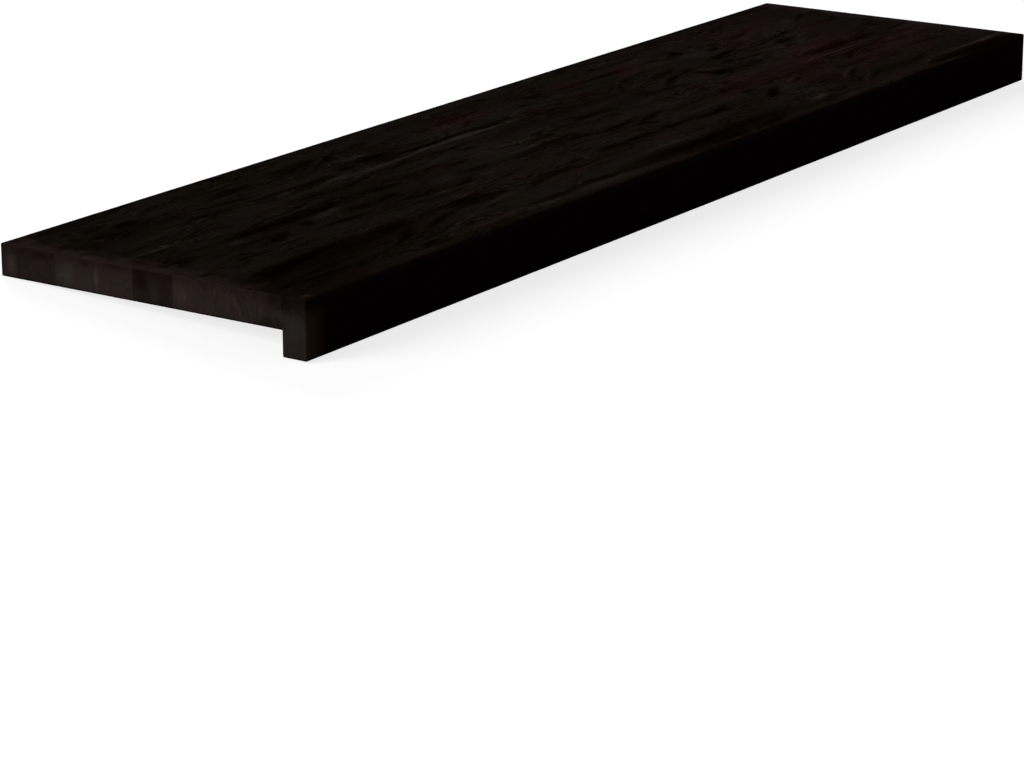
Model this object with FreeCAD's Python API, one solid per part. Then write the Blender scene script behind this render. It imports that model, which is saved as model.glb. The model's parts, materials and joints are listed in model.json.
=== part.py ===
import FreeCAD, Part
import math
import os

# Stair tread of solid wood: a board glued up from staves edge to edge, with a nosing strip
# glued to its front edge. The strip is as high as the board and the drop below it, so the
# tread's section is an L, and it hooks over the front of a step.
#
# All sizes are in millimetres. The tread is drawn level, with X along its length, Y from the
# front of the nosing back to the rear edge, and Z up from the nosing's underside. It is then
# laid down as it rests unheld on a level floor, on the heel of the nosing and on the rear
# edge of the board, so its top slopes back a little.

# Driving sizes
LENGTH = 1200.0
DEPTH = 300.0
BOARD_THICKNESS = 27.0
NOSING_THICKNESS = 23.0
NOSING_DROP = 21.0
STAVE_WIDTH = 39.0
REAR_STAVE_WIDTH = 17.0
EDGE_RADIUS = 1.5

# Places that follow from them, in the level section
TOP = NOSING_DROP + BOARD_THICKNESS
GLUE_LINE = NOSING_THICKNESS
REST_SLOPE = math.atan2(NOSING_DROP, DEPTH - GLUE_LINE)


def stave_joints():
    """Y of the staves' edges, from the board's rear edge to the glue line of the nosing.

    The rear stave is what was left when the board was ripped to depth. The others are whole,
    but for the front one, which takes up what is left: half a stave to one and a half.
    """
    first_joint = DEPTH - REAR_STAVE_WIDTH
    others = max(1, round((first_joint - GLUE_LINE) / STAVE_WIDTH))
    joints = [first_joint - number * STAVE_WIDTH for number in range(others)]
    return [DEPTH] + joints + [GLUE_LINE]


def is_inner_corner(edge):
    """True for the long edge where the board's underside meets the back of the nosing."""
    return all(
        abs(end.Y - GLUE_LINE) < 1e-6 and abs(end.Z - NOSING_DROP) < 1e-6
        for end in edge.Vertexes
    )


def glued_blank():
    """The whole tread in one piece: the L section drawn out to length, its outer edges eased."""
    section = [
        (0, 0),
        (GLUE_LINE, 0),
        (GLUE_LINE, NOSING_DROP),
        (DEPTH, NOSING_DROP),
        (DEPTH, TOP),
        (0, TOP),
    ]
    corners = [FreeCAD.Vector(-LENGTH / 2, y, z) for y, z in section]
    outline = Part.makePolygon(corners + corners[:1])
    blank = Part.Face(outline).extrude(FreeCAD.Vector(LENGTH, 0, 0))
    outer_edges = [edge for edge in blank.Edges if not is_inner_corner(edge)]
    return blank.makeFillet(EDGE_RADIUS, outer_edges)


def strip_of(blank, y_front, y_rear):
    """The full-length strip of the blank between two glue lines."""
    corner = FreeCAD.Vector(-LENGTH / 2, y_front, 0)
    return blank.common(Part.makeBox(LENGTH, y_rear - y_front, TOP, corner))


def tread_pieces():
    """Each piece of wood by name: the staves from the rear forwards, then the nosing strip."""
    blank = glued_blank()
    joints = stave_joints()
    pieces = {
        f"stave_{number}": strip_of(blank, y_front, y_rear)
        for number, (y_rear, y_front) in enumerate(zip(joints, joints[1:]), start=1)
    }
    pieces["nosing_strip"] = strip_of(blank, 0, GLUE_LINE)
    return pieces


def tipped_back(y, z):
    """Where a point of the level section goes when the tread is tipped back by its slope."""
    tipped_y = y * math.cos(REST_SLOPE) + z * math.sin(REST_SLOPE)
    tipped_z = z * math.cos(REST_SLOPE) - y * math.sin(REST_SLOPE)
    return tipped_y, tipped_z


def laid_on_floor(piece):
    """The level piece as it lies: tipped back, down on the floor and centred front to back.

    The tread's foremost, rearmost and lowest places are all on rounded edges, so each is one
    radius beyond the middle of that rounding.
    """
    toe_y = tipped_back(EDGE_RADIUS, EDGE_RADIUS)[0] - EDGE_RADIUS
    rear_y = tipped_back(DEPTH - EDGE_RADIUS, TOP - EDGE_RADIUS)[0] + EDGE_RADIUS
    heel_z = tipped_back(GLUE_LINE - EDGE_RADIUS, EDGE_RADIUS)[1] - EDGE_RADIUS
    piece.rotate(FreeCAD.Vector(0, 0, 0), FreeCAD.Vector(1, 0, 0), -math.degrees(REST_SLOPE))
    piece.translate(FreeCAD.Vector(0, -(toe_y + rear_y) / 2, -heel_z))
    return piece


os.makedirs("parts", exist_ok=True)
for name, piece in tread_pieces().items():
    laid_on_floor(piece).exportStep(f"parts/{name}.step")
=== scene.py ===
import json
import math
from collections import namedtuple

import bmesh
import bpy
import numpy as np
from mathutils import Matrix, Vector


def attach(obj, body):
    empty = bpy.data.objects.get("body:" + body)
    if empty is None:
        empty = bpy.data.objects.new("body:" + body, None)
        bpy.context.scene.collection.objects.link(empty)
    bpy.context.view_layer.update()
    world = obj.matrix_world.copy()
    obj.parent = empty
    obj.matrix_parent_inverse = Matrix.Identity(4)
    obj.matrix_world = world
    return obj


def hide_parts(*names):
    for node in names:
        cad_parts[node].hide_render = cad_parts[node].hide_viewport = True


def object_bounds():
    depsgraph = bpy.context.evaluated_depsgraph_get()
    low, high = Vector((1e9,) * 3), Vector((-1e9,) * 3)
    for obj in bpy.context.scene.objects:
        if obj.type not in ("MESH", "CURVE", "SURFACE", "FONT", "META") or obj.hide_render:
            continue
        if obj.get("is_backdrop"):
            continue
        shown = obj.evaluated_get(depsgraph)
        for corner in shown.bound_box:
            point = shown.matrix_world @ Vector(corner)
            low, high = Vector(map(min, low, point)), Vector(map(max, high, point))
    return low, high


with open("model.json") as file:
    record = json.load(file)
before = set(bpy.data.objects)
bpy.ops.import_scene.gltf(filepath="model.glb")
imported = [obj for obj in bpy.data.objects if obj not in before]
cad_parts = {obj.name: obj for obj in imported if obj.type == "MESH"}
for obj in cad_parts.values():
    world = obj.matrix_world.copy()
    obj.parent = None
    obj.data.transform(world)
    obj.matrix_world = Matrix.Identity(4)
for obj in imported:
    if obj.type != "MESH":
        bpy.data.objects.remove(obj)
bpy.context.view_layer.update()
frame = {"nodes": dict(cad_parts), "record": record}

# A stair tread of dark stained wood: eight staves glued edge to edge and a nosing strip along
# the front. Everything is in metres. The tread lies on the floor with its top sloping back, so
# its pieces are modelled level, with X along the length, Y from the front of the nosing to the
# rear edge and Z up from the nosing's underside, and are then tipped back as they lie.

# Sizes, from the frame

NOSING = "nosing_strip"
REAR_STAVE = "stave_1"

mounts = {mount["name"]: mount for mount in frame["record"]["mounts"]}
top_normal = Vector(mounts["top_face"]["axis"])
SLOPE = math.atan2(top_normal.y, top_normal.z)


def level_corners(node, turn):
    """Lowest and highest corners of a CAD node once it is turned level."""
    points = np.array([turn @ vertex.co for vertex in frame["nodes"][node].data.vertices])
    return points.min(0), points.max(0)


turn_level = Matrix.Rotation(SLOPE, 3, "X")
nosing_low, nosing_high = level_corners(NOSING, turn_level)
LEVEL_ORIGIN = Vector((0, nosing_low[1], nosing_low[2]))
TIPPED = Matrix.Rotation(-SLOPE, 4, "X") @ Matrix.Translation(LEVEL_ORIGIN)

Strip = namedtuple("Strip", "front rear bottom top")
STRIPS = {}
for node in frame["nodes"]:
    low, high = level_corners(node, turn_level)
    STRIPS[node] = Strip(
        low[1] - LEVEL_ORIGIN.y,
        high[1] - LEVEL_ORIGIN.y,
        low[2] - LEVEL_ORIGIN.z,
        high[2] - LEVEL_ORIGIN.z,
    )

# The bed is the underside of the board, and the edges are rounded as in the part
HALF_LENGTH = (nosing_high[0] - nosing_low[0]) / 2
DEPTH = STRIPS[REAR_STAVE].rear
BED = STRIPS[REAR_STAVE].bottom
TOP = STRIPS[NOSING].top
EDGE_RADIUS = 0.0015
MM = 0.001

# Camera, floor, world and lamps

# The camera is fitted to the photo. Its lens and sensor are in mm.
CAMERA_PLACE = Vector((-2.5674, -1.5983, 0.8549))
CAMERA_AZIMUTH = math.radians(-57.261)
CAMERA_ELEVATION = math.radians(19.521)
CAMERA_ROLL = math.radians(3.777)
LENS = 122.5
SENSOR = 36
CLIP_END = 100

# The floor's own glow brings it up to white where the lamps reach it, and only shows in
# rays that show the background. The world is white in them and lights the tread at its level.
FLOOR_SIZE = 12
FLOOR_COLOUR = 0.3
FLOOR_GLOW = 0.78
WORLD_LEVEL = 0.12


def direction(azimuth, elevation):
    """Unit vector from the tread towards a place round it: azimuth 0 is the front, 90 the right."""
    flat = math.cos(elevation)
    return Vector((math.sin(azimuth) * flat, -math.cos(azimuth) * flat, math.sin(elevation)))


def add_camera():
    """Adds the camera that looks at the tread as in the photo."""
    camera = bpy.data.objects.new("camera", bpy.data.cameras.new("camera"))
    camera.data.lens = LENS
    camera.data.sensor_width = SENSOR
    camera.data.clip_end = CLIP_END
    upright = direction(CAMERA_AZIMUTH, CAMERA_ELEVATION).to_track_quat("Z", "Y").to_matrix()
    camera.matrix_world = (
        Matrix.Translation(CAMERA_PLACE)
        @ upright.to_4x4()
        @ Matrix.Rotation(CAMERA_ROLL, 4, "Z")
    )
    bpy.context.scene.collection.objects.link(camera)
    bpy.context.scene.camera = camera


def add_sun(name, azimuth, elevation, level, softness):
    """A soft lamp far away. At level 1 a white face turned to it renders white."""
    lamp = bpy.data.lights.new(name, "SUN")
    lamp.energy = level * math.pi
    lamp.angle = math.radians(softness)
    sun = bpy.data.objects.new(name, lamp)
    towards = direction(math.radians(azimuth), math.radians(elevation))
    sun.rotation_euler = towards.to_track_quat("Z", "Y").to_euler()
    bpy.context.scene.collection.objects.link(sun)


# Fields: numbers and vectors that nodes work out


class Field:
    """A number or vector that nodes work out. Its sums and products add nodes for themselves."""

    def __init__(self, tree, socket):
        self.tree = tree
        self.socket = socket

    def math(self, operation, *others):
        return math_field(self.tree, operation, self, *others)

    def __add__(self, other):
        return self.math("ADD", other)

    def __sub__(self, other):
        return self.math("SUBTRACT", other)

    def __rsub__(self, other):
        return math_field(self.tree, "SUBTRACT", other, self)

    def __mul__(self, other):
        return self.math("MULTIPLY", other)

    def __truediv__(self, other):
        return self.math("DIVIDE", other)

    __radd__ = __add__
    __rmul__ = __mul__


def connect(tree, value, socket):
    """Feeds a field to a socket, or sets a plain value on it."""
    if isinstance(value, Field):
        tree.links.new(value.socket, socket)
    else:
        socket.default_value = value


def add_node(tree, kind, inputs=(), output=0, **settings):
    """Adds a node with its settings and inputs, and gives one of its outputs as a field."""
    node = tree.nodes.new(kind)
    for name, value in settings.items():
        setattr(node, name, value)
    for key, value in dict(inputs).items():
        connect(tree, value, node.inputs[key])
    return Field(tree, node.outputs[output])


def math_field(tree, operation, *values):
    """What the math node makes of up to three numbers."""
    return add_node(tree, "ShaderNodeMath", dict(enumerate(values)), operation=operation)


def ramp(value, start, end):
    """0 below start, 1 above end and smooth between them. Start may be the larger."""
    inputs = {"Value": value, "From Min": start, "From Max": end}
    return add_node(
        value.tree, "ShaderNodeMapRange", inputs, interpolation_type="SMOOTHSTEP", clamp=True
    )


Step = namedtuple("Step", "start end amount")


def stepped(value, step):
    """0 before a step starts and its amount past its end. Start may be the larger."""
    return ramp(value, step.start, step.end) * step.amount


# Floor and world


def background_ray(tree):
    """1 for a ray that shows the background: from the camera, or by way of gloss or glass."""
    seen = [
        add_node(tree, "ShaderNodeLightPath", output=name)
        for name in ("Is Camera Ray", "Is Glossy Ray", "Is Transmission Ray")
    ]
    return math_field(tree, "MAXIMUM", math_field(tree, "MAXIMUM", seen[0], seen[1]), seen[2])


def add_floor():
    """A pale floor that looks white, keeps the tread's shadow and is clear from beneath."""
    mesh = bpy.data.meshes.new("floor")
    half = FLOOR_SIZE / 2
    corners = [(-half, -half, 0), (half, -half, 0), (half, half, 0), (-half, half, 0)]
    mesh.from_pydata(corners, [], [(0, 1, 2, 3)])
    floor = bpy.data.objects.new("floor", mesh)
    bpy.context.scene.collection.objects.link(floor)
    material = bpy.data.materials.new("floor")
    material.use_nodes = True
    tree = material.node_tree
    tree.nodes.clear()
    pale = add_node(tree, "ShaderNodeBsdfDiffuse", {"Color": (FLOOR_COLOUR,) * 3 + (1,)})
    glow = add_node(tree, "ShaderNodeEmission", {"Strength": background_ray(tree) * FLOOR_GLOW})
    lit = add_node(tree, "ShaderNodeAddShader", {0: pale, 1: glow})
    clear = add_node(tree, "ShaderNodeBsdfTransparent")
    beneath = add_node(tree, "ShaderNodeNewGeometry", output="Backfacing")
    surface = add_node(tree, "ShaderNodeMixShader", {0: beneath, 1: lit, 2: clear})
    output = tree.nodes.new("ShaderNodeOutputMaterial")
    connect(tree, surface, output.inputs["Surface"])
    mesh.materials.append(material)
    floor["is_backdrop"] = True


def set_world():
    """A world that looks white and lights the tread faintly from all round."""
    world = bpy.data.worlds.new("studio")
    world.use_nodes = True
    tree = world.node_tree
    tree.nodes.clear()
    level = background_ray(tree) * (1 - WORLD_LEVEL) + WORLD_LEVEL
    sky = add_node(tree, "ShaderNodeBackground", {"Strength": level})
    output = tree.nodes.new("ShaderNodeOutputWorld")
    connect(tree, sky, output.inputs["Surface"])
    bpy.context.scene.world = world


add_camera()
add_floor()
set_world()

# Angles in degrees. The key lights the top and the near end, the rear lamp rakes the top from
# behind, and the fill lights the front a little.
add_sun("key", azimuth=-115, elevation=27, level=1.05, softness=30)
add_sun("rear", azimuth=140, elevation=16, level=0.68, softness=40)
add_sun("fill", azimuth=30, elevation=30, level=0.15, softness=60)
bpy.context.scene.view_settings.view_transform = "Standard"

# Meshes: each strip is lofted from its section, with fine faces for the relief of the grain

# The largest faces, along, across and up a strip, and the faces of a quarter turn of rounding
ALONG_STEP = 4 * MM
ACROSS_STEP = 0.9 * MM
UP_STEP = 3 * MM
ROUND_STEPS = 4

# On the nosing's back, the bare face starts this far below the glued one
INNER_CORNER = 0.5 * MM

WELD = 0.001 * MM
SHARP_ANGLE = math.radians(40)

# What rounding may add to a whole number of steps
STEP_ERROR = 1e-6


def spread(start, end, step):
    """Evenly spaced values from start to end, no further apart than step."""
    return np.linspace(start, end, max(1, math.ceil((end - start) / step - STEP_ERROR)) + 1)


def columns_across(node):
    """Number of points across the top of a strip."""
    return len(spread(STRIPS[node].front, STRIPS[node].rear, ACROSS_STEP))


def heights(node):
    """Heights of the points up the sides, which on the nosing mark the board's underside."""
    strip = STRIPS[node]
    if node == NOSING:
        below = spread(strip.bottom, BED - INNER_CORNER, UP_STEP)
        return np.append(below, spread(BED, TOP, UP_STEP))
    return spread(strip.bottom, strip.top, UP_STEP)


def section(node, turned):
    """Front, rear and heights of the section where the end's rounding has turned by an angle.

    The bare faces draw in as the edge rounds, and the glued ones stay where they are.
    """
    strip = STRIPS[node]
    drawn_in = EDGE_RADIUS * (1 - math.cos(turned))
    level = heights(node)
    front = np.full(len(level), strip.front + (drawn_in if node == NOSING else 0))
    rear = np.full(len(level), strip.rear - (drawn_in if node == REAR_STAVE else 0))
    if node == NOSING:
        rear[level < BED - WELD] -= drawn_in
        above = level > BED - WELD
        share_above = (level[above] - BED) / (TOP - BED)
        share_below = (level[~above] - strip.bottom) / (BED - INNER_CORNER - strip.bottom)
        low, middle, high = strip.bottom + drawn_in, BED + drawn_in, TOP - drawn_in
        level[above] = middle + share_above * (high - middle)
        level[~above] = low + share_below * (middle - INNER_CORNER - low)
    else:
        share = (level - strip.bottom) / (strip.top - strip.bottom)
        level = strip.bottom + drawn_in + share * (strip.top - strip.bottom - 2 * drawn_in)
    return front, rear, level


def arc(centre, radius, start):
    """Points of a quarter turn from an angle in degrees, with its two ends."""
    angles = math.radians(start) + np.linspace(0, math.pi / 2, ROUND_STEPS + 1)
    return np.stack([centre[0] + radius * np.cos(angles), centre[1] + radius * np.sin(angles)], 1)


def outline(node, turned):
    """Closed loop of (Y, Z) points round a section: underside, rear, top and front."""
    front, rear, level = section(node, turned)
    radius = EDGE_RADIUS * math.cos(turned)
    across = np.linspace(0, 1, columns_across(node))
    round_front = radius if node == NOSING else 0
    round_rear_top = radius if node == REAR_STAVE else 0
    round_rear_low = radius if node in (REAR_STAVE, NOSING) else 0

    def along(start, end, height):
        return np.stack([start + (end - start) * across, np.full(len(across), height)], 1)

    def corner(y, z, size, start):
        inward_y = size if start in (90, 180) else -size
        inward_z = size if start in (180, 270) else -size
        return arc((y + inward_y, z + inward_z), size, start)[1:-1]

    low, high = level[0], level[-1]
    rear_side = np.stack([rear, level], 1)
    front_side = np.stack([front, level], 1)[::-1]
    rear_side[0, 1] = low + round_rear_low
    rear_side[-1, 1] = high - round_rear_top
    front_side[0, 1] = high - round_front
    front_side[-1, 1] = low + round_front
    return np.concatenate([
        along(front[0] + round_front, rear[0] - round_rear_low, low),
        corner(rear[0], low, round_rear_low, 270),
        rear_side,
        corner(rear[-1], high, round_rear_top, 0),
        along(front[-1] + round_front, rear[-1] - round_rear_top, high)[::-1],
        corner(front[-1], high, round_front, 90),
        front_side,
        corner(front[0], low, round_front, 180),
    ])


def stations():
    """Places along the length with how far the end's rounding has turned there, from end to end."""
    turns = np.linspace(math.pi / 2, 0, ROUND_STEPS + 1)
    rounded = [(-HALF_LENGTH + EDGE_RADIUS * (1 - math.sin(turn)), turn) for turn in turns]
    straight = [(x, 0) for x in spread(rounded[-1][0], -rounded[-1][0], ALONG_STEP)[1:-1]]
    return rounded + straight + [(-x, turn) for x, turn in reversed(rounded)]


def welded(name, points, faces):
    """A closed, smooth mesh from points and faces, where points that coincide become one."""
    mesh = bpy.data.meshes.new(name)
    mesh.from_pydata(points, [], faces)
    shape = bmesh.new()
    shape.from_mesh(mesh)
    bmesh.ops.remove_doubles(shape, verts=shape.verts, dist=WELD)
    bmesh.ops.dissolve_degenerate(shape, edges=shape.edges, dist=WELD)
    bmesh.ops.recalc_face_normals(shape, faces=shape.faces)
    shape.to_mesh(mesh)
    shape.free()
    mesh.shade_smooth()
    mesh.set_sharp_from_angle(angle=SHARP_ANGLE)
    return mesh


def lofted_strip(node):
    """The strip's mesh, level: the loops of its sections, closed by a grid at each end."""
    points = []
    loops = [(x, outline(node, turn)) for x, turn in stations()]
    size = len(loops[0][1])
    for x, loop in loops:
        points.extend((x, y, z) for y, z in loop)
    faces = []
    for i in range(len(loops) - 1):
        for j in range(size):
            k = (j + 1) % size
            faces.append((i * size + j, i * size + k, (i + 1) * size + k, (i + 1) * size + j))
    front, rear, level = section(node, math.pi / 2)
    columns = columns_across(node)
    for x in (-HALF_LENGTH, HALF_LENGTH):
        first = len(points)
        for row, height in enumerate(level):
            points.extend((x, y, height) for y in np.linspace(front[row], rear[row], columns))
        for row in range(len(level) - 1):
            for column in range(columns - 1):
                corner = first + row * columns + column
                faces.append((corner, corner + 1, corner + columns + 1, corner + columns))
    return welded(node + "_wood", points, faces)


# Wood: one field of rings, fibres, pores and marks, which both the colour and the relief use

# Lengths are in mm: where the pith runs, across from the strip's middle and up from its
# underside, the ring width, and how far the pith drifts across and upwards over PITH_RUN.
# Tones, here and below, are natural logarithms of brightness. Red and end_red are the share of
# the redder of the two stains on the sides and on the ends, end_tone is the tone of the ends,
# and end_ring is how much lighter the late wood is there.
Grain = namedtuple("Grain", "seed pith_across pith_up ring lean rise red end_tone end_red end_ring")
PITH_RUN = 1000
GRAINS = {
    "stave_1": Grain(1, 25, -20, 6.0, 6, 12, 0.11, -0.10, 0.60, -0.08),
    "stave_2": Grain(2, -14, -10, 7.0, -8, 16, 0.11, -0.16, 0.75, -0.08),
    "stave_3": Grain(3, 24, -14, 6.5, 10, -14, 0.08, 0.12, 0.65, -0.06),
    "stave_4": Grain(4, -30, -10, 6.0, -6, 12, 0.08, 0.14, 0.80, -0.06),
    "stave_5": Grain(5, 18, -16, 7.5, 12, 20, 0.08, -0.45, 0.70, -0.08),
    "stave_6": Grain(6, 55, -6, 7.0, -5, 8, 0.12, 0.10, 0.80, 0.08),
    "stave_7": Grain(7, -62, 8, 4.5, 9, -10, 0.12, 0.00, 0.80, 0.30),
    "stave_8": Grain(8, -40, -12, 5.0, -12, 14, 0.11, -0.08, 0.74, 0.24),
    "nosing_strip": Grain(9, 22, -14, 6.0, 4, 8, 0.11, -0.10, 0.10, -0.08),
}

Mark = namedtuple("Mark", "x y half_length half_width lean tone red bend", defaults=(0, 0, 0, 0))

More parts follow.
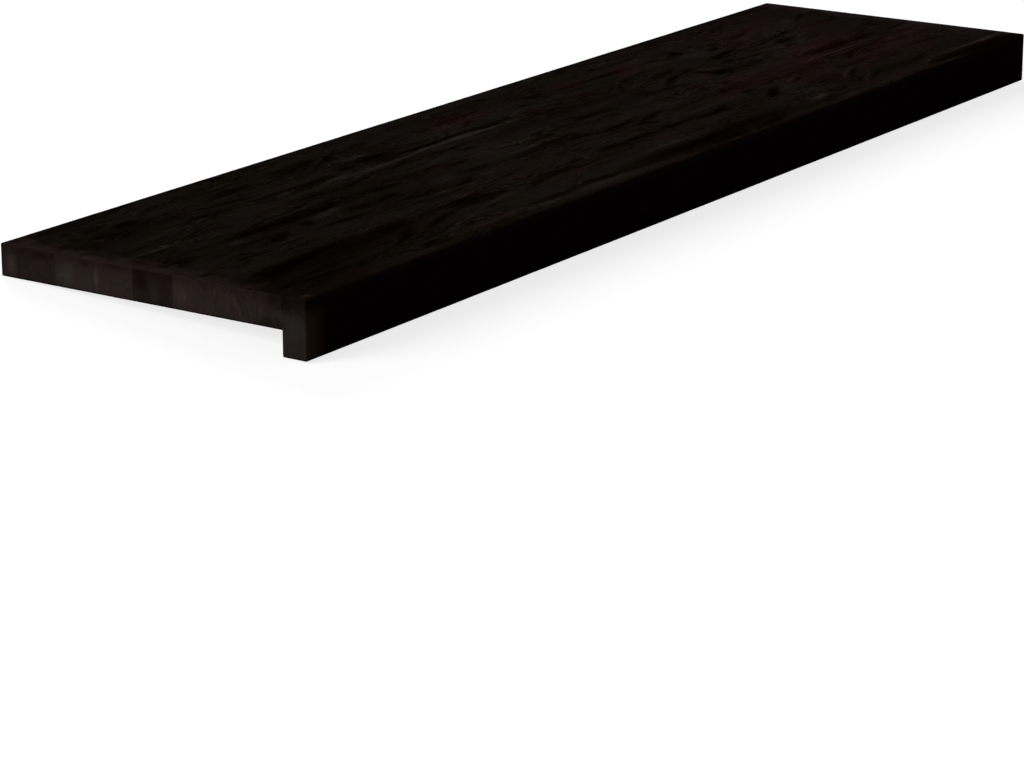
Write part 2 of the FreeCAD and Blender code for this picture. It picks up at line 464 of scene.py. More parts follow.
# Marks on the top, listed in mm from mid-length and from the nosing's front. Lean is the
# way across per mm along, tone and red are added at the middle, and rings part round a bend.
# They run from the near end to the far one.
STROKES = [
    Mark(-585, 262, 16, 9, 0, 0.1, 0.3),
    Mark(-578, 35, 25, 4, 0, -0.9),
    Mark(-570, 140, 25, 2, 0.05, -0.75),
    Mark(-560, 196, 40, 3, 0.05, -0.52),
    Mark(-552, 62, 22, 5, 0.15, -1.2),
    Mark(-545, 183, 38, 2.5, 0, 0.94),
    Mark(-540, 246, 12, 4, 0, -0.68),
    Mark(-538, 158, 22, 2, 0, -0.6),
    Mark(-530, 109, 16, 2.2, 0, -0.9),
    Mark(-530, 42, 50, 3, 0, -0.68),
    Mark(-528, 30, 34, 3, 0, -0.75),
    Mark(-520, 242, 50, 14, 0, -0.45),
    Mark(-505, 75, 55, 6, 0.08, -1.5),
    Mark(-500, 255, 16, 5, 0, -1.35, 0.1, 0.6),
    Mark(-500, 212, 45, 5, 0, 0.51),
    Mark(-497, 145, 9, 2, 0, 0.85),
    Mark(-478, 66, 108, 17, 0, -0.83),
    Mark(-470, 112, 13, 2.5, 0, -0.9),
    Mark(-470, 163, 26, 2, 0.1, -0.75),
    Mark(-465, 128, 15, 5, 0.2, -1.35, 0, 0.8),
    Mark(-465, 156, 28, 4.5, 0, -1.35),
    Mark(-460, 118, 14, 2, 0, 0.68),
    Mark(-435, 218, 36, 3.5, 0, -0.83),
    Mark(-430, 155, 36, 5, 0, -0.98),
    Mark(-428, 169, 36, 2, 0.1, -0.75),
    Mark(-420, 155, 88, 7, 0, -0.45),
    Mark(-418, 135, 8, 6, 0.3, -1.05, 0, 0.8),
    Mark(-412, 87, 16, 2.5, 0, 0.45),
    Mark(-405, 48, 24, 5, 0.45, -1.2),
    Mark(-398, 232, 26, 3, -0.08, -0.98),
    Mark(-390, 75, 24, 9, 0, -0.9),
    Mark(-386, 118, 32, 3.5, -0.03, -0.98),
    Mark(-385, 175, 38, 2, 0.13, -0.9),
    Mark(-382, 142, 24, 8, 0.1, 0.68, 0, 0.7),
    Mark(-370, 278, 75, 13, 0, 0.15, 0.1),
    Mark(-365, 255, 24, 5.5, 0, -1.27, 0, 0.9),
    Mark(-365, 158, 27, 4, 0.15, -1.12),
    Mark(-360, 168, 32, 2, 0.12, -0.83),
    Mark(-350, 217, 32, 3, 0, -0.98),
    Mark(-350, 135, 20, 6, -0.1, -0.83),
    Mark(-345, 186, 32, 2.5, 0.08, -0.9),
    Mark(-345, 55, 32, 4.5, 0.28, -1.05),
    Mark(-340, 36, 40, 2.2, 0.2, 0.85),
    Mark(-318, 20, 48, 6, 0, 0.42, 0.1),
    Mark(-310, 134, 15, 5, 0.1, -1.2),
    Mark(-308, 178, 40, 9, 0, -0.22),
    Mark(-300, 216, 26, 4, 0, -1.27),
    Mark(-296, 46, 30, 2, 0.22, -0.75),
    Mark(-292, 155, 20, 4.5, 0, -0.98),
    Mark(-288, 74, 27, 9, 0, -1.35),
    Mark(-286, 207, 22, 3.5, 0, 0.72),
    Mark(-285, 188, 42, 2.5, 0.1, -1.2),
    Mark(-280, 86, 22, 3, 0, 0.7),
    Mark(-275, 53, 45, 3, 0.2, 0.5),
    Mark(-275, 263, 36, 7, 0, -0.75),
    Mark(-262, 15, 42, 2.8, 0, 0.85),
    Mark(-262, 168, 16, 2, 0.1, -0.6),
    Mark(-258, 66, 24, 3.5, 0.17, -1.12),
    Mark(-250, 220, 14, 5, 0, -1.12),
    Mark(-245, 106, 40, 3, -0.05, 0.75),
    Mark(-240, 22, 36, 2.2, 0, -0.83),
    Mark(-235, 129, 24, 8, 0.2, 0.38),
    Mark(-230, 257, 28, 2.4, 0.36, -1.35),
    Mark(-230, 115, 24, 2.6, 0.22, -1.05),
    Mark(-225, 98, 30, 2.4, 0, 0.5),
    Mark(-225, 204, 38, 6, 0.08, 0.42, -0.1),
    Mark(-215, 241, 15, 5.5, 0, 0.88),
    Mark(-205, 228, 25, 6.5, 0, -1.95, 0, 0.8),
    Mark(-205, 163, 14, 2.5, 0.1, -0.98),
    Mark(-200, 195, 24, 2.6, 0.2, -1.05),
    Mark(-200, 96, 34, 2.2, 0.03, -0.68),
    Mark(-195, 115, 11, 3, 0, 0.55),
    Mark(-190, 62, 30, 3, 0.14, -0.9),
    Mark(-190, 130, 26, 4, 0, -0.6),
    Mark(-185, 176, 30, 2, 0.1, 0.44),
    Mark(-180, 156, 16, 2.5, 0, -1.05),
    Mark(-178, 98, 30, 16, 0.1, 0.02, 0.55),
    Mark(-165, 207.5, 32, 2.8, 0.04, 0.5, -0.15),
    Mark(-160, 22, 55, 4.5, 0, -0.68),
    Mark(-150, 66, 18, 3, 0, -1.05),
    Mark(-150, 11, 66, 4, 0, 0.42),
    Mark(-140, 217, 52, 3.6, 0, -1.95),
    Mark(-130, 178, 9, 4, 0, -0.75),
    Mark(-120, 192, 38, 2.2, 0, -0.83),
    Mark(-110, 161, 42, 5, 0, 0.33),
    Mark(-100, 251, 65, 15, 0, 0.16, 0.1),
    Mark(-95, 209.5, 60, 2.6, 0, 0.8, -0.2),
    Mark(-90, 136, 52, 2.8, 0.02, 0.5),
    Mark(-90, 63, 42, 3.2, 0, -0.68),
    Mark(-80, 155, 22, 3, 0, 0.55),
    Mark(-78, 128, 62, 5.5, 0, -0.75),
    Mark(-70, 243, 8, 5, 0, 0.5),
    Mark(-60, 216.5, 50, 2.2, 0, -1.35),
    Mark(-60, 78, 15, 3.6, 0, -1.35),
    Mark(-60, 182, 42, 5, 0.12, -0.38),
    Mark(-52, 108, 27, 2.6, 0, -0.75),
    Mark(-45, 236, 20, 2.6, 0.35, -0.75),
    Mark(-40, 252, 36, 18, 0, 0, 0.6),
    Mark(-35, 122, 22, 3.5, -0.1, -0.75),
    Mark(-34, 210.5, 26, 2.4, 0, 0.65, -0.1),
    Mark(-30, 245, 25, 7, 0, 0.22, 0.1, 1.4),
    Mark(-30, 257, 26, 2, 0.1, -0.6),
    Mark(-28, 166, 36, 5, 0, 0.38),
    Mark(-24, 75, 36, 5, 0.03, -0.83),
    Mark(-20, 45, 34, 3.5, 0, 0.44),
    Mark(-20, 25, 85, 11, 0, -1.05),
    Mark(-5, 106, 22, 2.6, 0, -0.83),
    Mark(0, 75, 26, 4, 0, -1.27),
    Mark(5, 222, 14, 2.6, 0.4, 0.45),
    Mark(20, 118, 28, 3.5, 0.1, -1.27),
    Mark(30, 202, 28, 2.4, 0, -0.83),
    Mark(35, 155, 18, 3, 0, 0.45),
    Mark(40, 235, 9, 3, 0, -0.75),
    Mark(40, 12, 28, 5, 0, -1.42),
    Mark(42, 163, 32, 3.2, 0, -0.9),
    Mark(48, 76, 17, 5, 0, -1.5),
    Mark(56, 133, 22, 6.5, 0.3, 0.3),
    Mark(60, 112, 27, 4.2, 0.15, -1.27),
    Mark(62, 24, 110, 14, 0, -0.6),
    Mark(65, 32, 46, 5, 0.1, -0.68),
    Mark(76, 247, 13, 4.4, 0.1, -1.12),
    Mark(78, 77, 26, 2.6, 0, -0.9),
    Mark(85, 254, 9, 3, 0, 0.45),
    Mark(88, 177, 50, 3.8, 0, 0.45),
    Mark(95, 60, 18, 4.5, 0.2, 0.3),
    Mark(110, 73, 24, 3.4, 0.05, -1.5),
    Mark(110, 12, 24, 4.6, 0, -1.12),
    Mark(112, 28, 28, 3, 0, -0.6),
    Mark(125, 101, 28, 2.2, 0.06, -0.75),
    Mark(130, 242, 24, 4, 0, -0.52),
    Mark(130, 252, 26, 14, 0, 0, 0.5),
    Mark(132, 181, 16, 2.6, 0, 0.45),
    Mark(134, 78, 17, 2.6, 0.2, -0.9),
    Mark(140, 92, 24, 2.6, 0.1, 0.4),
    Mark(140, 113, 34, 2.6, 0, -0.68),
    Mark(148, 172, 12, 6, -0.4, -0.75),
    Mark(152, 198, 14, 3, 0.7, -0.75),
    Mark(170, 164, 32, 4.4, 0, -1.05, 0, 0.6),
    Mark(176, 90, 24, 3, 0.2, 0.35),
    Mark(190, 244, 38, 3.8, 0, -1.12),
    Mark(206, 116, 18, 4, 0, -0.68),
    Mark(210, 178, 22, 3.8, 0.34, -1.42),
    Mark(215, 230, 22, 3.4, 0, 0.3),
    Mark(215, 238, 36, 12, 0.2, 0, 0.6),
    Mark(218, 72, 22, 5.5, 0.36, -1.65, 0.1),
    Mark(225, 26, 14, 6, 0, 0.85, -0.1, 0.5),
    Mark(225, 115, 48, 16, 0.2, 0.05, 0.5),
    Mark(228, 202, 28, 4.5, 0.15, -0.6),
    Mark(230, 14, 60, 4, 0, -0.68),
    Mark(240, 187, 22, 2.8, 0.14, -1.05),
    Mark(248, 97, 28, 3.2, 0.1, 0.35),
    Mark(250, 142, 60, 8, 0, 0.15, 0.1),
    Mark(260, 172, 7, 9, -0.6, -1.05),
    Mark(264, 256, 16, 4, 0, 0.54),
    Mark(265, 230, 17, 5.5, 0, 0.35),
    Mark(272, 160, 17, 6.5, 0, -2.1, 0, 1.6),
    Mark(276, 81, 14, 2.2, 0.15, -1.2),
    Mark(276, 177, 16, 4.6, 0, 0.45),
    Mark(282, 87, 16, 2.4, 0, 0.45),
    Mark(292, 242, 7, 6, 0, 0.45),
    Mark(302, 62, 32, 17, 0.1, -0.63, 0.5, 1.3),
    Mark(308, 104, 44, 28, 0, 0, 0.4),
    Mark(315, 157, 45, 5.5, 0, -0.68),
    Mark(318, 242, 8, 9, 0, -1.05, 0, 1.2),
    Mark(320, 180, 10, 3.6, 0, -0.98),
    Mark(322, 224, 22, 5, 0, 0.35),
    Mark(333, 257, 22, 1.8, 0.5, 0.45),
    Mark(334, 57, 24, 2.2, 0.46, 0.68),
    Mark(335, 36, 22, 2.4, 0.36, 0.54),
    Mark(338, 52, 26, 2.4, 0.46, -1.05),
    Mark(340, 238, 14, 6, 0, 0.25),
    Mark(342, 30, 26, 2.4, 0.3, -0.6),
    Mark(345, 201, 26, 4.6, 0.1, -1.95, 0, 0.8),
    Mark(345, 213, 34, 3.4, 0, 0.4),
    Mark(352, 173, 24, 2.8, -0.12, -0.9),
    Mark(354, 247, 6, 3, 0.3, -1.05),
    Mark(356, 77, 6, 5, -0.6, -0.9),
    Mark(358, 223, 9, 4.6, 0, -1.42, 0, 0.9),
    Mark(370, 118, 17, 2.6, 0.2, 0.45),
    Mark(378, 271, 12, 3, 0.4, 0.54),
    Mark(380, 33, 62, 9, 0, -0.48),
    Mark(395, 250, 9, 5, 0.3, -0.6),
    Mark(400, 111, 60, 1.8, 0.01, -0.75),
    Mark(400, 184, 32, 2.2, 0, -0.75),
    Mark(400, 76, 36, 16, 0.15, 0.05, 0.5),
    Mark(400, 107.5, 50, 1.6, 0, 0.35),
    Mark(410, 145, 34, 4.4, 0.1, 0.2),
    Mark(412, 197, 17, 3, 0.2, -0.9),
    Mark(418, 240, 36, 24, 0.3, 0, 0.7),
    Mark(420, 222, 7, 5, 0.3, 0.35),
    Mark(420, 116, 75, 1.8, 0.01, 0.45),
    Mark(428, 130, 48, 6.5, 0, -0.9),
    Mark(432, 35, 27, 6, 0.2, -0.6),
    Mark(436, 185, 17, 3.8, 0, -1.42),
    Mark(436, 104, 52, 1.8, 0, -0.8),
    Mark(440, 140, 95, 24, 0.2, 0.02, 0.7),
    Mark(444, 99, 30, 2, 0.03, 0.5),
    Mark(446, 11, 32, 6, 0, -1.05),
    Mark(448, 201, 17, 3.2, 0.15, -1.2),
    Mark(470, 206, 10, 2.6, 0.2, -0.9),
    Mark(480, 213, 9, 3, 0.2, 0.3),
    Mark(480, 142, 17, 3.6, 0, 0.35),
    Mark(496, 129, 24, 4.4, 0.08, -0.98),
    Mark(500, 88, 66, 24, 0.2, 0.1, 0.45),
    Mark(500, 250, 62, 15, 0.4, 0, 0.5),
    Mark(505, 195, 34, 20, 0.2, -0.08, 0.4),
    Mark(506, 22, 42, 3, 0, 0.77),
    Mark(510, 70, 24, 3.4, 0, -0.52),
    Mark(520, 232, 10, 5, 0, 0.35),
    Mark(536, 66, 16, 3.2, 0, -0.6),
    Mark(540, 9, 82, 8, 0, -1.95),
    Mark(545, 145, 14, 4.4, 0, 0.35),
    Mark(550, 231, 18, 3.4, 0.25, -0.9),
    Mark(560, 23, 32, 3.2, 0.03, 0.68),
    Mark(566, 127, 27, 2.4, 0, -0.9),
    Mark(570, 119, 30, 3, 0, 0.5),
    Mark(575, 242, 22, 5, 0, 0.4, -0.2),
    Mark(580, 190, 26, 34, 0, 0, -0.4),
    Mark(582, 168, 10, 5, 0, -1.5),
]

# Broad patches, in the same way, that are a little lighter, darker, redder or less red
PATCHES = [
    Mark(-560, 22, 100, 30, 0, -0.35),
    Mark(-560, 130, 50, 25, 0, 0.25),
    Mark(-350, 270, 260, 40, 0, 0, -0.2),
    Mark(-250, 275, 110, 25, 0, 0.15, -0.1),
    Mark(-250, 204, 90, 7, 0.03, 0.35, -0.1),
    Mark(-150, 75, 80, 30, 0, 0.15),
    Mark(-50, 22, 80, 22, 0, -0.25),
    Mark(50, 180, 170, 26, 0, -0.25),
    Mark(100, 285, 110, 20, 0, 0, -0.3),
    Mark(100, 275, 160, 30, 0, -0.2),
    Mark(150, 25, 80, 25, 0, -0.25),
    Mark(260, 250, 120, 40, 0, -0.12),
    Mark(320, 125, 150, 9, 0.12, 0, 0.15),
    Mark(330, 25, 80, 20, 0, -0.15),
    Mark(460, 95, 130, 36, 0, 0.03, 0.15),
    Mark(560, 240, 60, 60, 0, -0.22),
]

# How far from its middle a mark reaches, in half widths: it keeps under a hundredth of its
# strength there. The power sets how steeply it falls off on the way.
MARK_REACH = 1.7
MARK_POWER = 1.5

# The marks of the top fade out between these depths below it, in mm
MARK_DEPTHS = (14, 4)

EndMark = namedtuple("EndMark", "y z half_width half_height tone red")

# Marks on the cut ends, in mm from the nosing's front and its underside, from the rear forwards
END_MARKS = [
    EndMark(289, 32, 5, 9, 0.40, -0.5),
    EndMark(281, 33, 1.2, 10, -0.22, 0.2),
    EndMark(259, 43.5, 12, 3, -0.30, 0.3),
    EndMark(233, 32, 9, 9, 0.25, -0.5),
    EndMark(214, 44, 5, 3, -0.30, 0.0),
    EndMark(213, 29, 8, 6, -0.10, -0.7),
    EndMark(202.5, 34, 1.8, 10, 0.45, -0.6),
    EndMark(183, 46, 13, 2, -0.30, 0.2),
    EndMark(158, 40, 6, 8, -0.45, 0.5),
    EndMark(145, 32, 5, 9, 0.25, -0.6),
    EndMark(118, 33, 5, 9, 0.20, -0.4),
    EndMark(86.4, 40, 0.9, 5, 0.35, 0.0),
    EndMark(74, 33, 0.9, 8, 0.30, 0.0),
    EndMark(67, 36, 0.9, 6, 0.25, 0.0),
    EndMark(48, 33, 1.0, 7, 0.35, -0.2),
    EndMark(43, 34, 0.9, 6, 0.30, -0.2),
    EndMark(33, 24, 12, 6, -0.55, -0.6),
    EndMark(29, 43, 9, 7, -0.60, 0.1),
    EndMark(19, 40, 6, 6, -0.20, -0.7),
    EndMark(12, 23, 9, 7, 0.22, -0.1),
]

Noise = namedtuple("Noise", "along across seed amount detail roughness", defaults=(1, 2.0, 0.5))

# Noises: their sizes in mm along and across the grain, their seeds and their amounts. Waves and
# kinks move the marks and the two drifts move the pith, in mm, and the rings waver in ring widths.
WAVES = Noise(70, 14, 20, 1.3)
KINKS = Noise(24, 3, 30, 0.5)
DRIFT_ACROSS = Noise(110, 40, 40, 3.6)
DRIFT_UP = Noise(130, 45, 60, 3.6)
RING_WAVER = Noise(90, 9, 80, 0.12)
STREAKS = Noise(80, 11, 100)
LINES = Noise(32, 4.6, 120)
FIBRES = Noise(28, 1.8, 140, detail=2.5, roughness=0.6)
PORES = Noise(30, 0.8, 160, detail=1.0)

# The noise texture runs about 0.5, mostly within two spreads of it, and a seed shifts it
NOISE_MIDDLE = 0.5
NOISE_SPREAD = 0.08
SEED_STEP = (173.0, 59.0, 83.0)

# Within a ring, as shares of its width, the late wood comes on and ends
LATE_START = (0.25, 0.88)
LATE_END = (0.92, 1.0)

# How strong the late wood is changes from ring to ring, by a noise along their number that
# starts elsewhere for each seed
RING_NOISE_SCALE = 0.45
RING_NOISE_SEED = 7.3
STRONG_RING = (0.3, 0.7)

# Pores come in between these levels of their noise, and late wood closes this share of them
PORE_LEVELS = (0.9, 2.0)
CLOSED_PORES = 0.7

# Late wood and pores go from 0 to 1. Fibres, lines and streaks are noises that follow the
# rings, each coarser than the one before. Tone and red come from the marks.
Wood = namedtuple("Wood", "late fibre line pore streak tone red")


def vector_field(tree, operation, *values):
    """What the vector math node makes of some vectors."""
    return add_node(tree, "ShaderNodeVectorMath", dict(enumerate(values)), operation=operation)


def parts(place):
    """The X, Y and Z of a place as three fields."""
    split = place.tree.nodes.new("ShaderNodeSeparateXYZ")
    connect(place.tree, place, split.inputs[0])
    return [Field(place.tree, socket) for socket in split.outputs]


def drawn_out(place, noise, seed=0):
    """A noise about 0, mostly within twice its amount, drawn out along the grain."""
    shift = tuple(step * (noise.seed + seed) for step in SEED_STEP)
    spot = vector_field(place.tree, "DIVIDE", place, (noise.along, noise.across, noise.across))
    spot = vector_field(place.tree, "ADD", spot, shift)
    inputs = {"Vector": spot, "Scale": 1.0, "Detail": noise.detail, "Roughness": noise.roughness}
    value = add_node(place.tree, "ShaderNodeTexNoise", inputs) - NOISE_MIDDLE
    return value * (noise.amount / NOISE_SPREAD)


def add_group(tree, build, inputs):
    """Adds a node group, which build fills the first time that a kind of tree needs it."""
    kind = tree.bl_idname
    name = f"{build.__name__}_{kind}"
    group = bpy.data.node_groups.get(name)
    if not group:
        group = bpy.data.node_groups.new(name, kind)
        build(group)
    node_kind = "ShaderNodeGroup" if kind == "ShaderNodeTree" else "GeometryNodeGroup"
    return add_node(tree, node_kind, inputs, node_tree=group)


def mark_shape(group):
    """Fills the group that is 1 at the middle of a mark and falls smoothly to 0 round it."""
    for name in ("Place", "Middle", "Half Size"):
        group.interface.new_socket(name, in_out="INPUT", socket_type="NodeSocketVector")
    group.interface.new_socket("Lean", in_out="INPUT", socket_type="NodeSocketFloat")
    group.interface.new_socket("Shape", in_out="OUTPUT", socket_type="NodeSocketFloat")
    entry = group.nodes.new("NodeGroupInput")
    place, middle, half_size, lean = [Field(group, socket) for socket in entry.outputs[:4]]
    along, across, _ = parts(vector_field(group, "SUBTRACT", place, middle))
    half_along, half_across, _ = parts(half_size)
    u = along / half_along
    v = (across - along * lean) / half_across
    shape = ((u * u + v * v).math("POWER", MARK_POWER) * -1.0).math("EXPONENT")
    leave = group.nodes.new("NodeGroupOutput")
    connect(group, shape, leave.inputs[0])


def mark_field(place, x, y, half_along, half_across, lean=0.0):
    """How strongly a mark shows at a place: 1 in its middle and 0 away from it."""
    inputs = {0: place, 1: (x, y, 0), 2: (half_along, half_across, 1), 3: lean}
    return add_group(place.tree, mark_shape, inputs)


def in_reach(mark, half_width, strip):
    """Whether a mark may show on a strip."""
    reach = MARK_REACH * half_width
    return strip.front / MM - reach < mark.y < strip.rear / MM + reach


def marked(place, strip):
    """Tone, red and ring bend of the marks on a strip, as three fields."""
    totals = [0.0, 0.0, 0.0]
    for mark in STROKES + PATCHES:
        if not in_reach(mark, mark.half_width + abs(mark.lean) * mark.half_length, strip):
            continue
        shape = mark_field(place, mark.x, mark.y, mark.half_length, mark.half_width, mark.lean)
        wide = shape
        if mark.bend:
            wide = mark_field(place, mark.x, mark.y, mark.half_length * 2, mark.half_width * 2)
        amounts = ((mark.tone, shape), (mark.red, shape), (mark.bend, wide))
        for index, (share, field) in enumerate(amounts):
            if share:
                totals[index] = field.math("MULTIPLY_ADD", share, totals[index])
    return totals


def wood_field(place, node):
    """The wood of a strip at a place, given in mm from the level origin."""
    tree = place.tree
    grain = GRAINS[node]
    strip = STRIPS[node]
    seed = grain.seed
    x, y, z = parts(place)
    y_bent = y + drawn_out(place, WAVES, seed) + drawn_out(place, KINKS, seed)
    bent = add_node(tree, "ShaderNodeCombineXYZ", {0: x, 1: y_bent})
    near_top = ramp(z, TOP / MM - MARK_DEPTHS[0], TOP / MM - MARK_DEPTHS[1])
    tone, red, bend = [total * near_top for total in marked(bent, strip)]

    pith_y = (strip.front + strip.rear) / 2 / MM + grain.pith_across
    pith_z = strip.bottom / MM + grain.pith_up
    across = y - pith_y - x * (grain.lean / PITH_RUN) + drawn_out(place, DRIFT_ACROSS, seed)
    up = z - pith_z - x * (grain.rise / PITH_RUN) + drawn_out(place, DRIFT_UP, seed)
    radius = (across * across + up * up).math("SQRT")
    rings = radius / grain.ring + drawn_out(place, RING_WAVER, seed) + bend
    ring_noise = {"W": rings + seed * RING_NOISE_SEED, "Scale": RING_NOISE_SCALE}
    strength = add_node(tree, "ShaderNodeTexNoise", ring_noise, noise_dimensions="1D")
    turn = rings.math("FRACT")
    late = (ramp(turn, *LATE_START) - ramp(turn, *LATE_END)) * ramp(strength, *STRONG_RING)

    around = across.math("ARCTAN2", up) * radius
    grown = add_node(tree, "ShaderNodeCombineXYZ", {0: x, 1: rings * grain.ring, 2: around})
    streak = drawn_out(grown, STREAKS, seed)
    line = drawn_out(grown, LINES, seed)
    fibre = drawn_out(grown, FIBRES, seed)
    pore = ramp(drawn_out(grown, PORES, seed), *PORE_LEVELS) * (1 - late * CLOSED_PORES)
    return Wood(late, fibre, line, pore, streak, tone, red)


def weighed(wood, weights):
    """Sum of some of the wood's fields, each times its weight."""
    first, *others = [getattr(wood, name) * weight for name, weight in weights.items()]
    return sum(others, first)


# Materials: the wood's colour, roughness and bump

# Colours, linear at tone 0: the stains of the sides and of the cut ends, each in a plain and a
# redder kind, where the ends' are lighter partly as painted light; the lighter fringe and the chips
# along the ends; the painted shade of the nosing's front and the painted glow by its near end
BROWN = (0.0063, 0.0049, 0.0034)
RED_BROWN = (0.0096, 0.0040, 0.0038)
END_STAIN_AND_LIGHT = (0.0170, 0.0138, 0.0113)
END_RED_STAIN_AND_LIGHT = (0.0171, 0.0106, 0.0103)
END_FRINGE_BROWN = (0.0170, 0.0102, 0.0093)
CHIP_BROWN = (0.0200, 0.0135, 0.0118)
FRONT_PAINTED_SHADE = (0.0034, 0.0010, 0.0011)
PAINTED_GLOW_BROWN = (0.0225, 0.0140, 0.0075)

# A tone t multiplies red, green and blue by exp(share * t + curve * t * t), and blue is then
# held to a share of the red plus a share of the green, so that pale wood doesn't turn purple
TONE_SHARES = (0.89, 1.09, 1.54)
TONE_CURVES = (0.08, -0.04, -0.30)
BLUE_LIMITS = (0.17, 0.62)
END_TONE_SHARES = (0.92, 1.08, 1.16)
NO_CURVES = (0.0, 0.0, 0.0)

# The tone of the sides: what the grain adds to it, and where streaks and lines stand out
FINE_TONES = {"late": -0.4, "streak": 0.18, "line": 0.2, "fibre": 0.1}
DARK_STREAKS = Step(0.6, 1.6, -0.5)
DARK_LINES = Step(0.5, 1.4, -0.6)
LIGHT_STREAKS = Step(-0.5, -1.8, 0.45)
LIGHT_LINES = Step(-0.9, -2.0, 0.6)
PORE_TONE = -0.6

# The grain stands out more in some places than in others
CONTRAST_PATCHES = Noise(120, 22, 210, detail=1.0)
CONTRAST = Step(-1.2, 1.2, 1.5)
LEAST_CONTRAST = 0.3

# The top is lighter and redder towards the far end, in full from this far past mid-length
FULLY_FAR = HALF_LENGTH / MM / 3
BASE_TONE = 0.04
FAR_TONE = 0.26
FAR_RED = 0.16
BANDS = Noise(180, 60, 200, 0.08, detail=1.0)
FRONT_EDGE = Step(6, 0, -0.6)
REAR_EDGE = Step(DEPTH / MM - 3, DEPTH / MM, -0.5)

# The redder stain comes in patches and along the streaks, and a bluer cast in other patches
RED_PATCHES = Noise(70, 24, 180, 0.8)
RED_STREAKS = 0.3
RED_SHARE = 0.14
COOL_PATCHES = Noise(45, 14, 190, 0.09)

# Along the cut ends the sides are lighter and chipped up to a ragged line, with distances in mm
# from the end. The lighter fringe is fainter towards the front.
RAGGED = Noise(14, 16, 150, 4.5)
FRINGE_WIDTHS = (28, -2)
FRINGE_DEPTHWISE = Step(30, 130, 0.7)
LEAST_FRINGE = 0.2
CHIPS = Noise(7, 11, 160)
CHIP_LEVELS = (0.6, 2.0)
CHIP_WIDTHS = (9, 2)
CHIP_SHARE = 0.6

# Painted light on the front: lighter just under the top, and a painted glow by the near end, with
# distances in mm
FRONT_CONTRAST = 0.5
PAINTED_LIGHT_UNDER_EDGE = Step(9, 0, 0.9)
PAINTED_GLOW_WIDTH = 30
PAINTED_GLOW_DEPTHS = (4, 16)

# The cut ends are darker and redder near the top, and have a thin dark rim below and behind
END_STREAK_TONE = 0.07
END_FIBRE_TONE = 0.05
BOARD_SHADE = Step(10, 0, -0.4)
NOSING_SHADE = Step(20, 0, -1.1)
RIM_WIDTHS = (2.4, 0.6)
RIM_TONE = -0.7
END_TOP_RED = Step(16, 2, 0.5)
END_STREAK_RED = 0.15

# Where a face counts as a cut end or as the front, by the X and the Y of its normal
END_FACING = (0.45, 0.8)
FRONT_FACING = (-0.4, -0.8)

ROUGHNESS = 0.72
ROUGHNESS_SHARES = {"fibre": 0.04, "pore": 0.1}
BUMP_HEIGHTS = {"fibre": 0.25, "line": 0.3, "late": 0.5}
BUMP_STRENGTH = 0.5
BUMP_DISTANCE = 0.15 * MM

# Sockets of the mix node, where it mixes colours
MIX_SHARE, MIX_FIRST, MIX_SECOND, MIXED_COLOUR = 0, 6, 7, 2

# What the colours are worked out from, with places in mm
Spot = namedtuple("Spot", "wood fine place x y z under_top")


def mix_colour(tree, share, first, second):
    """The first colour where the share is 0 and the second where it is 1."""
    inputs = {MIX_SHARE: share}
    for key, colour in ((MIX_FIRST, first), (MIX_SECOND, second)):
        inputs[key] = colour if isinstance(colour, Field) else colour + (1,)
    return add_node(
        tree, "ShaderNodeMix", inputs, MIXED_COLOUR, data_type="RGBA", clamp_factor=True
    )


def combined(tree, *values):
    """A vector of three values, or of the same value three times."""
    if len(values) == 1:
        values = values * 3
    return add_node(tree, "ShaderNodeCombineXYZ", dict(enumerate(values)))


def toned(tree, colour, tone, cool=0.0, shares=TONE_SHARES, curves=TONE_CURVES):
    """The colour made lighter or darker by a tone, and the darker, the more saturated."""
    factors = []
    for share, curve, shift in zip(shares, curves, (0.0, 0.0, cool)):
        factors.append((tone * (tone * curve + share) + shift).math("EXPONENT"))
    red, green, blue = parts(vector_field(tree, "MULTIPLY", colour, combined(tree, *factors)))
    most_blue = red * BLUE_LIMITS[0] + green * BLUE_LIMITS[1]
    return combined(tree, red, green, blue.math("MINIMUM", most_blue))


def level_place(tree):
    """The place that is shaded, in mm from the level origin."""
    laid = add_node(tree, "ShaderNodeTexCoord", output="Object")
    turned = add_node(
        tree, "ShaderNodeVectorRotate", {"Vector": laid, "Angle": SLOPE}, rotation_type="X_AXIS"
    )
    level = vector_field(tree, "SUBTRACT", turned, tuple(LEVEL_ORIGIN))
    return vector_field(tree, "DIVIDE", level, (MM, MM, MM))


def fine_tone(wood):
    """How much lighter the grain makes the wood."""
    fine = weighed(wood, FINE_TONES)
    fine = fine + stepped(wood.streak, DARK_STREAKS) + stepped(wood.line, DARK_LINES)
    fine = fine + stepped(wood.streak, LIGHT_STREAKS) + stepped(wood.line, LIGHT_LINES)
    return fine + wood.pore * PORE_TONE


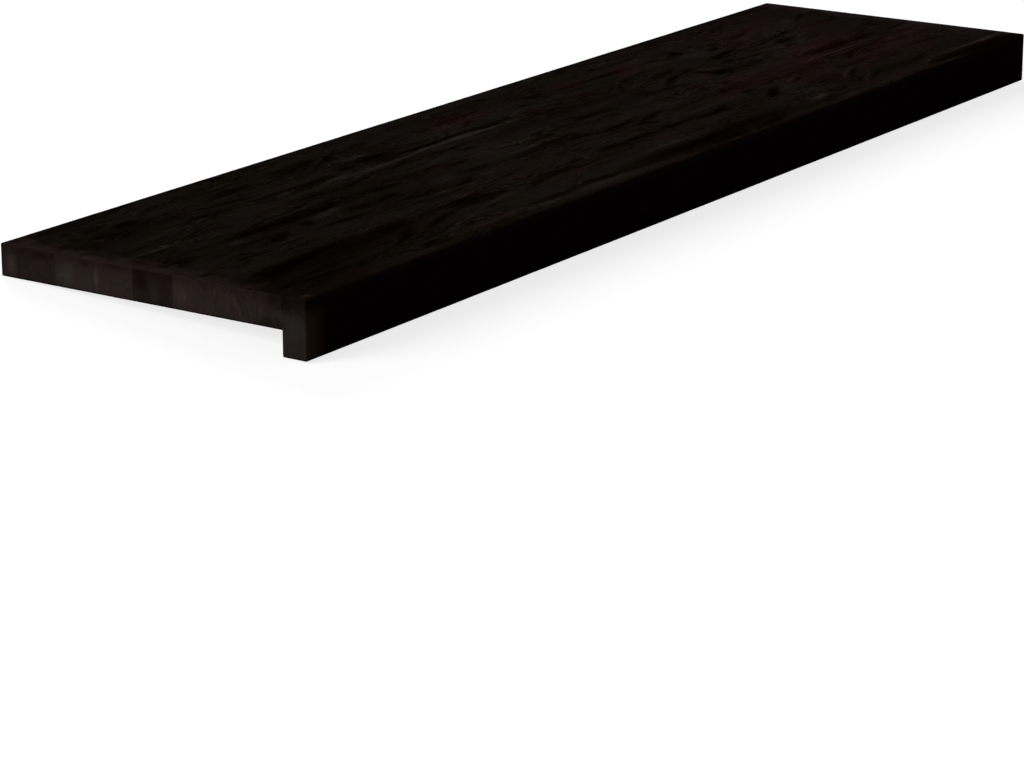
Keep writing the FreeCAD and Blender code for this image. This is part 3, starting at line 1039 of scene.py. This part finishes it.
def side_colour(tree, node, spot):
    """Colour of the top, the underside and the edges, lighter and chipped along the cut ends."""
    grain = GRAINS[node]
    along = ramp(spot.x, -HALF_LENGTH / MM, FULLY_FAR)
    contrast = stepped(drawn_out(spot.place, CONTRAST_PATCHES, grain.seed), CONTRAST)
    tone = spot.wood.tone + spot.fine * (contrast + LEAST_CONTRAST) + drawn_out(spot.place, BANDS)
    tone = tone + BASE_TONE + along * FAR_TONE
    tone = tone + stepped(spot.y, FRONT_EDGE) + stepped(spot.y, REAR_EDGE)
    stain = drawn_out(spot.place, RED_PATCHES) + spot.wood.streak * RED_STREAKS
    red = spot.wood.red + stain * RED_SHARE + grain.red + along * FAR_RED
    cool = drawn_out(spot.place, COOL_PATCHES)
    colour = toned(tree, mix_colour(tree, red, BROWN, RED_BROWN), tone, cool)
    from_end = HALF_LENGTH / MM - spot.x.math("ABSOLUTE") + drawn_out(spot.place, RAGGED)
    fringe = ramp(from_end, *FRINGE_WIDTHS) * (stepped(spot.y, FRINGE_DEPTHWISE) + LEAST_FRINGE)
    chips = ramp(drawn_out(spot.place, CHIPS), *CHIP_LEVELS)
    chipped = chips * ramp(from_end, *CHIP_WIDTHS) * CHIP_SHARE
    colour = mix_colour(tree, fringe, colour, END_FRINGE_BROWN)
    return mix_colour(tree, chipped, colour, CHIP_BROWN)


def front_colour(tree, spot):
    """Colour of the nosing's front: painted shade, nearly black, with painted light just under the
    top and a painted glow by the near end.
    """
    tone = spot.fine * FRONT_CONTRAST + stepped(spot.under_top, PAINTED_LIGHT_UNDER_EDGE)
    near_end = ramp(spot.x, PAINTED_GLOW_WIDTH - HALF_LENGTH / MM, -HALF_LENGTH / MM)
    # The glow is painted light on the front by the near end
    glow = near_end * ramp(spot.under_top, *PAINTED_GLOW_DEPTHS)
    return mix_colour(tree, glow, toned(tree, FRONT_PAINTED_SHADE, tone), PAINTED_GLOW_BROWN)


def end_colour(tree, node, spot):
    """Colour of the cut ends, with their marks and their darker rim, in stains lighter than the
    sides' partly as painted light.
    """
    grain = GRAINS[node]
    strip = STRIPS[node]
    wood = spot.wood
    tone, red = 0.0, 0.0
    cut_place = add_node(tree, "ShaderNodeCombineXYZ", {0: spot.y, 1: spot.z})
    for mark in END_MARKS:
        if in_reach(mark, mark.half_width, strip):
            shape = mark_field(cut_place, mark.y, mark.z, mark.half_width, mark.half_height)
            tone = shape.math("MULTIPLY_ADD", mark.tone, tone)
            red = shape.math("MULTIPLY_ADD", mark.red, red)
    tone = tone + wood.late * grain.end_ring
    tone = tone + wood.streak * END_STREAK_TONE + wood.fibre * END_FIBRE_TONE
    tone = tone + stepped(spot.under_top, NOSING_SHADE if node == NOSING else BOARD_SHADE)
    tone = tone + grain.end_tone
    inner, outer = RIM_WIDTHS
    bottom, rear = strip.bottom / MM, strip.rear / MM
    tone = tone + ramp(spot.z, bottom + inner, bottom + outer) * RIM_TONE
    if node == REAR_STAVE:
        tone = tone + ramp(spot.y, rear - inner, rear - outer) * RIM_TONE
    red = red + stepped(spot.under_top, END_TOP_RED) + wood.streak * END_STREAK_RED + grain.end_red
    # The ends' stains are lighter than the sides' partly as painted light
    colour = mix_colour(tree, red, END_STAIN_AND_LIGHT, END_RED_STAIN_AND_LIGHT)
    return toned(tree, colour, tone, 0.0, END_TONE_SHARES, NO_CURVES)


def wood_material(node):
    """The stained wood of a strip, which has no gloss and a fine bump along its grain."""
    material = bpy.data.materials.new(node)
    material.use_nodes = True
    tree = material.node_tree
    shader = tree.nodes["Principled BSDF"]
    place = level_place(tree)
    x, y, z = parts(place)
    wood = wood_field(place, node)
    spot = Spot(wood, fine_tone(wood), place, x, y, z, TOP / MM - z)
    facing = parts(add_node(tree, "ShaderNodeTexCoord", output="Normal"))
    side = side_colour(tree, node, spot)
    if node == NOSING:
        # The nosing's front is painted nearly black as painted shade, with painted light by the
        # near end
        side = mix_colour(tree, ramp(facing[1], *FRONT_FACING), side, front_colour(tree, spot))
    end = ramp(facing[0].math("ABSOLUTE"), *END_FACING)
    colour = mix_colour(tree, end, side, end_colour(tree, node, spot))
    connect(tree, colour, shader.inputs["Base Color"])
    connect(tree, weighed(wood, ROUGHNESS_SHARES) + ROUGHNESS, shader.inputs["Roughness"])
    shader.inputs["Specular IOR Level"].default_value = 0.0
    height = weighed(wood, BUMP_HEIGHTS) - wood.pore
    bump = {"Strength": BUMP_STRENGTH, "Distance": BUMP_DISTANCE, "Height": height}
    connect(tree, add_node(tree, "ShaderNodeBump", bump), shader.inputs["Normal"])
    return material


# Relief: the surface sinks a little along the soft early wood and the pores

# A share of 1 sinks by the full depth. Plain early wood has the share at rest, and the wood's
# fields add to it. Next to a glued face the relief fades out over the seam, in mm.
RELIEF_DEPTH = 0.18 * MM
SUNK_AT_REST = 0.45
SUNK_SHARES = {"late": -0.4, "pore": 0.3, "fibre": 0.08, "tone": -0.3}
SEAM = 0.8


def relief_tree(node):
    """A geometry tree that sinks the bare faces by the wood's field, and not the glued ones."""
    tree = bpy.data.node_groups.new(node + "_relief", "GeometryNodeTree")
    tree.interface.new_socket("Geometry", in_out="INPUT", socket_type="NodeSocketGeometry")
    tree.interface.new_socket("Geometry", in_out="OUTPUT", socket_type="NodeSocketGeometry")
    entry = tree.nodes.new("NodeGroupInput")
    leave = tree.nodes.new("NodeGroupOutput")
    spot = add_node(tree, "GeometryNodeInputPosition")
    place = vector_field(tree, "DIVIDE", spot, (MM, MM, MM))
    wood = wood_field(place, node)
    strip = STRIPS[node]
    y = parts(place)[1]
    bare = 1.0
    if node != NOSING:
        bare = ramp(y, strip.front / MM, strip.front / MM + SEAM)
    if node != REAR_STAVE:
        bare = ramp(y, strip.rear / MM, strip.rear / MM - SEAM) * bare
    sunk = weighed(wood, SUNK_SHARES) + SUNK_AT_REST
    depth = sunk.math("MAXIMUM", 0.0).math("MINIMUM", 1.0) * bare * -RELIEF_DEPTH
    normal = add_node(tree, "GeometryNodeInputNormal")
    inward = vector_field(tree, "MULTIPLY", normal, combined(tree, depth))
    moved = tree.nodes.new("GeometryNodeSetPosition")
    tree.links.new(entry.outputs[0], moved.inputs["Geometry"])
    connect(tree, inward, moved.inputs["Offset"])
    tree.links.new(moved.outputs[0], leave.inputs[0])
    return tree


def with_relief(mesh, node):
    """A copy of the mesh with the relief worked into it."""
    blank = bpy.data.objects.new(node + "_blank", mesh)
    bpy.context.scene.collection.objects.link(blank)
    blank.modifiers.new("relief", "NODES").node_group = relief_tree(node)
    shaped = blank.evaluated_get(bpy.context.evaluated_depsgraph_get())
    result = bpy.data.meshes.new_from_object(shaped)
    bpy.data.objects.remove(blank)
    return result


# Pieces

for node in STRIPS:
    mesh = lofted_strip(node)
    mesh = with_relief(mesh, node)
    mesh.transform(TIPPED)
    piece = bpy.data.objects.new(node + "_wood", mesh)
    bpy.context.scene.collection.objects.link(piece)
    mesh.materials.clear()
    mesh.materials.append(wood_material(node))
    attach(piece, "root")
    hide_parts(node)
    "nosing_wood" if node == NOSING else "stave_wood"

low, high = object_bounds()
